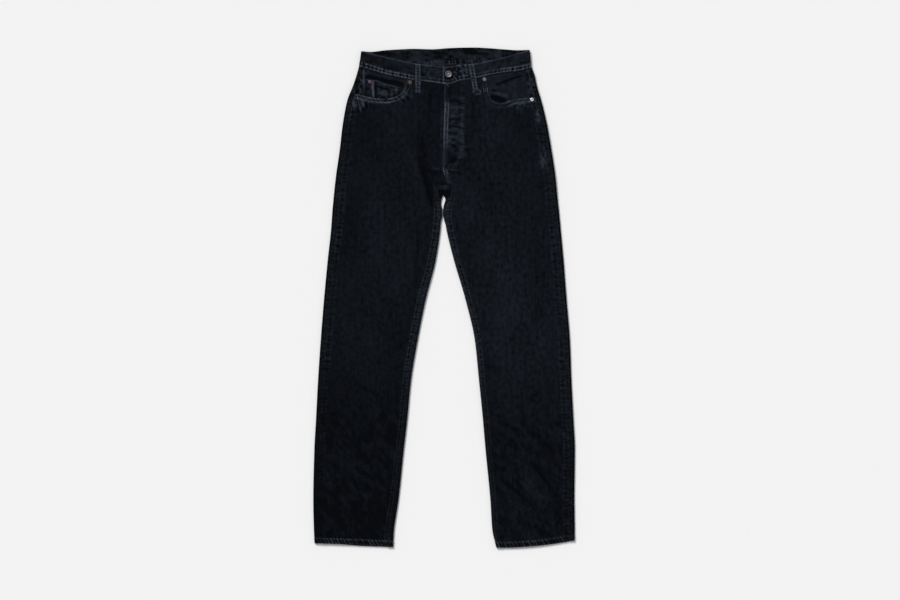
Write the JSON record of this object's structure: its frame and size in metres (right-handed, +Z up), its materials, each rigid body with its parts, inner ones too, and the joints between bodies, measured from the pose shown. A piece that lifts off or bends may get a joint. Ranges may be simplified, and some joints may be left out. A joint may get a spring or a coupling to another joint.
{
  "type": "straight leg jeans",
  "caption": "Dark denim straight leg jeans laid flat on their back, with a buttoned fly, belt loops, front pockets and a coin pocket.",
  "frame": {"origin": "middle of the laid garment's box, on the surface it lies on", "axes": "+Z up from the surface, so the garment's front faces +Z; +Y towards the waist; +X towards the wearer's left"},
  "size_m": [0.601, 1.1498, 0.0146],
  "materials": {
    "denim": "matte twill, faded at seams and folds",
    "denim_inside": "matte twill, inner side",
    "copper_rivets": "aged copper",
    "steel_buttons": "satin nickel plated"
  },
  "bodies": {
    "root": {"front_right": "denim", "front_left": "denim", "back_right": "denim", "back_left": "denim", "yoke_right": "denim", "yoke_left": "denim", "waistband": "denim", "loop_front_right": "denim", "loop_front_left": "denim", "loop_back_right": "denim", "loop_back_centre": "denim", "loop_back_left": "denim", "facing_right": "denim", "facing_left": "denim", "coin_pocket": "denim", "back_pocket_right": "denim", "back_pocket_left": "denim", "fly_shield": "denim_inside", "fly_button_1": "steel_buttons", "fly_button_2": "steel_buttons", "fly_button_3": "steel_buttons", "fly_button_4": "steel_buttons", "waist_button": "steel_buttons", "rivet_coin_outer": "copper_rivets", "rivet_coin_inner": "copper_rivets", "rivet_pocket_right": "copper_rivets", "rivet_pocket_left": "copper_rivets", "rivet_side_right": "copper_rivets", "rivet_side_left": "steel_buttons"}
  },
  "joints": []
}
